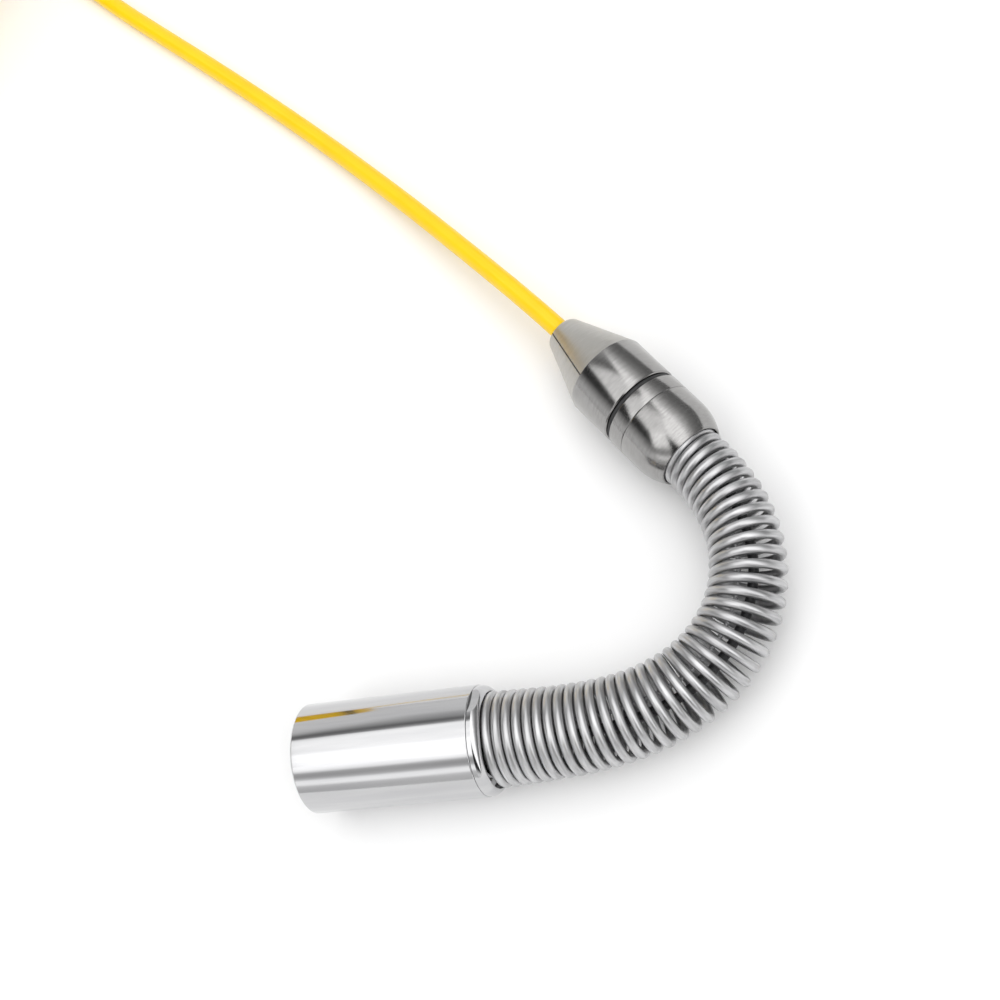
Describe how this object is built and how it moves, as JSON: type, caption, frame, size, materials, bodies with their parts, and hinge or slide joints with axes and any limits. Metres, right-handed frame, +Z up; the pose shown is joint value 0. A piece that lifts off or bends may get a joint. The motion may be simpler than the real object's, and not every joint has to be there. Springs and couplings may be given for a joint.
{
  "type": "inspection camera",
  "caption": "Pipe inspection camera: steel camera head on a bending spring, a screw connector, and a coiled yellow push rod that ends in a round plug.",
  "frame": {"origin": "on the floor, under the middle of the box round the head, spring and connector", "axes": "+X along the connector from the rod towards the spring, +Z up, and the spring bends towards -Y"},
  "size_m": [0.487, 0.1592, 0.0696],
  "materials": {
    "head_steel": "polished stainless steel, turned",
    "connector_steel": "fine-turned stainless steel",
    "spring_steel": "drawn spring wire, satin",
    "inner_steel": "machined steel",
    "window_glass": "clear hard glass",
    "lens_glass": "coated lens",
    "seal_rubber": "black nitrile rubber",
    "black_plastic": "moulded black plastic",
    "black_metal": "black anodised",
    "board_green": "printed circuit board",
    "lamp_white": "lamp package with yellow phosphor",
    "brass": "gold-plated brass",
    "insulator": "moulded insulator",
    "rod_yellow": "smooth extruded sleeve",
    "lead_black": "cable sheath",
    "tie_black": "woven hook-and-loop strap"
  },
  "bodies": {
    "rod_side": {"rod_holder": "connector_steel", "socket_insert": "insulator", "contact_sockets": "brass", "rod_ferrule": "brass", "rod_seal": "seal_rubber", "push_rod": "rod_yellow", "push_rod_coil": "rod_yellow", "coil_ties": "tie_black", "rod_tail": "rod_yellow", "plug_boot": "seal_rubber", "plug_shell": "inner_steel", "plug_insert": "insulator", "plug_pins": "brass"},
    "camera_side": {"connector_neck": "inner_steel", "snap_ring": "inner_steel", "pin_insert": "insulator", "contact_pins": "brass", "spring_cup": "head_steel", "spring_stub": "inner_steel", "spring_rear_turns": "spring_steel", "signal_lead": "lead_black", "safety_wire": "inner_steel"},
    "coupling_ring": {"coupling_ring": "head_steel", "joint_seal": "seal_rubber"},
    "spring_01": {"spring_turns_01": "spring_steel"},
    "spring_02": {"spring_turns_02": "spring_steel"},
    "spring_03": {"spring_turns_03": "spring_steel"},
    "spring_04": {"spring_turns_04": "spring_steel"},
    "spring_05": {"spring_turns_05": "spring_steel"},
    "spring_06": {"spring_turns_06": "spring_steel"},
    "spring_07": {"spring_turns_07": "spring_steel"},
    "spring_08": {"spring_turns_08": "spring_steel"},
    "spring_09": {"spring_turns_09": "spring_steel"},
    "spring_10": {"spring_turns_10": "spring_steel"},
    "spring_11": {"spring_turns_11": "spring_steel"},
    "head": {"spring_front_turns": "spring_steel", "head_barrel": "head_steel", "front_window": "window_glass", "window_seal": "seal_rubber", "window_ring": "black_metal", "lamp_board": "board_green", "lamps": "lamp_white", "light_shroud": "black_plastic", "lens_barrel": "black_metal", "camera_lens": "lens_glass", "lens_mount": "black_plastic", "sensor_board": "board_green", "main_board": "board_green", "board_chips": "black_plastic", "board_pillars": "brass", "rear_cap": "head_steel", "rear_cap_seal": "seal_rubber", "lead_gland": "seal_rubber"},
    "plug_nut": {"plug_nut": "inner_steel"}
  },
  "joints": [
    {"name": "coupling_draw", "type": "slide", "parent": "rod_side", "child": "camera_side", "axis": [1, 0, 0], "range_m": [0, 0.006]},
    {"name": "coupling_turn", "type": "hinge", "parent": "camera_side", "child": "coupling_ring", "pos_m": [-0.01852, 0.05667, 0.011], "axis": [1, 0, 0], "range_deg": [0, 1440.5]},
    {"name": "spring_bend", "type": "hinge", "parent": "camera_side", "child": "spring_01", "pos_m": [0.00629, 0.04911, 0.01113], "axis": [0, 0, 1], "range_deg": [-1.79, 10.41], "deforming": ["spring_turns_01", "spring_rear_turns", "signal_lead", "safety_wire"]},
    {"name": "spring_bend_02", "type": "hinge", "parent": "spring_01", "child": "spring_02", "pos_m": [0.01323, 0.04758, 0.0113], "axis": [0, 0, 1], "range_deg": [-2.08, 11.85], "deforming": ["spring_turns_02"]},
    {"name": "spring_bend_03", "type": "hinge", "parent": "spring_02", "child": "spring_03", "pos_m": [0.0197, 0.04467, 0.01146], "axis": [0, 0, 1], "range_deg": [-2.6, 14.88], "deforming": ["spring_turns_03"]},
    {"name": "spring_bend_04", "type": "hinge", "parent": "spring_03", "child": "spring_04", "pos_m": [0.02521, 0.0402, 0.01163], "axis": [0, 0, 1], "range_deg": [-2.95, 16.93], "deforming": ["spring_turns_04"]},
    {"name": "spring_bend_05", "type": "hinge", "parent": "spring_04", "child": "spring_05", "pos_m": [0.02919, 0.03434, 0.01179], "axis": [0, 0, 1], "range_deg": [-3.04, 17.45], "deforming": ["spring_turns_05"]},
    {"name": "spring_bend_06", "type": "hinge", "parent": "spring_05", "child": "spring_06", "pos_m": [0.03124, 0.02755, 0.01196], "axis": [0, 0, 1], "range_deg": [-2.84, 16.3], "deforming": ["spring_turns_06"]},
    {"name": "spring_bend_07", "type": "hinge", "parent": "spring_06", "child": "spring_07", "pos_m": [0.03132, 0.02046, 0.01213], "axis": [0, 0, 1], "range_deg": [-2.41, 13.79], "deforming": ["spring_turns_07"]},
    {"name": "spring_bend_08", "type": "hinge", "parent": "spring_07", "child": "spring_08", "pos_m": [0.02972, 0.01354, 0.01229], "axis": [0, 0, 1], "range_deg": [-1.86, 10.58], "deforming": ["spring_turns_08"]},
    {"name": "spring_bend_09", "type": "hinge", "parent": "spring_08", "child": "spring_09", "pos_m": [0.02687, 0.00703, 0.01246], "axis": [0, 0, 1], "range_deg": [-1.31, 7.36], "deforming": ["spring_turns_09"]},
    {"name": "spring_bend_10", "type": "hinge", "parent": "spring_09", "child": "spring_10", "pos_m": [0.02322, 0.00093, 0.01262], "axis": [0, 0, 1], "range_deg": [-0.84, 4.65], "deforming": ["spring_turns_10"]},
    {"name": "spring_bend_11", "type": "hinge", "parent": "spring_10", "child": "spring_11", "pos_m": [0.01908, -0.00485, 0.01279], "axis": [0, 0, 1], "range_deg": [-0.5, 2.67], "deforming": ["spring_turns_11"]},
    {"name": "spring_bend_12", "type": "hinge", "parent": "spring_11", "child": "head", "pos_m": [0.01468, -0.01044, 0.01295], "axis": [0, 0, 1], "range_deg": [-0.33, 1.7], "deforming": ["spring_front_turns"]},
    {"name": "plug_nut_turn", "type": "hinge", "parent": "rod_side", "child": "plug_nut", "pos_m": [-0.33592, -0.03833, 0.0082], "axis": [1, 0, 0], "continuous": true}
  ],
  "couplings": [
    {"joint": "coupling_turn", "follows": "coupling_draw", "rad_per_m": 4188.8},
    {"joint": "spring_bend_02", "follows": "spring_bend", "ratio": 1.134},
    {"joint": "spring_bend_03", "follows": "spring_bend", "ratio": 1.4248},
    {"joint": "spring_bend_04", "follows": "spring_bend", "ratio": 1.6216},
    {"joint": "spring_bend_05", "follows": "spring_bend", "ratio": 1.6718},
    {"joint": "spring_bend_06", "follows": "spring_bend", "ratio": 1.5613},
    {"joint": "spring_bend_07", "follows": "spring_bend", "ratio": 1.3207},
    {"joint": "spring_bend_08", "follows": "spring_bend", "ratio": 1.0121},
    {"joint": "spring_bend_09", "follows": "spring_bend", "ratio": 0.7025},
    {"joint": "spring_bend_10", "follows": "spring_bend", "ratio": 0.4417},
    {"joint": "spring_bend_11", "follows": "spring_bend", "ratio": 0.25157},
    {"joint": "spring_bend_12", "follows": "spring_bend", "ratio": 0.15841}
  ]
}
